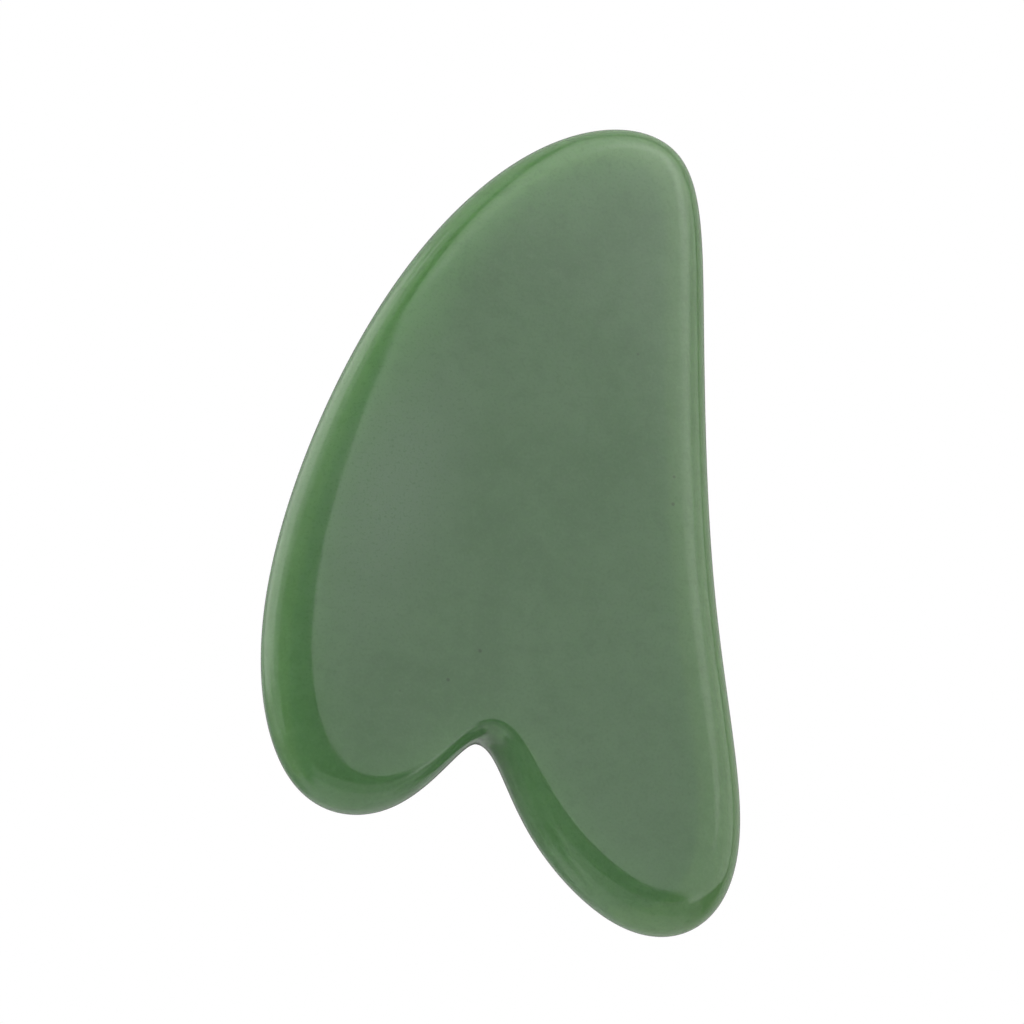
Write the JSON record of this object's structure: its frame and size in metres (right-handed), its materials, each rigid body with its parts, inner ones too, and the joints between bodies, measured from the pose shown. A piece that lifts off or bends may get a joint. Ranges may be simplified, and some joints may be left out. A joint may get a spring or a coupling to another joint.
{
  "type": "gua sha scraper",
  "caption": "Flat polished green stone massage scraper with a rounded tip, one bulging side, one straight side, and two rounded lobes with a notch between them.",
  "frame": {"origin": "middle of the bounding box in X and Y, at the back face that the stone lies on", "axes": "+Y from the two lobes to the rounded tip, +X from the bulging side to the straight side, +Z out of the front face"},
  "size_m": [0.055, 0.093, 0.007],
  "materials": {
    "stone": "polished, slightly translucent"
  },
  "bodies": {
    "root": {"scraper_stone": "stone"}
  },
  "joints": []
}
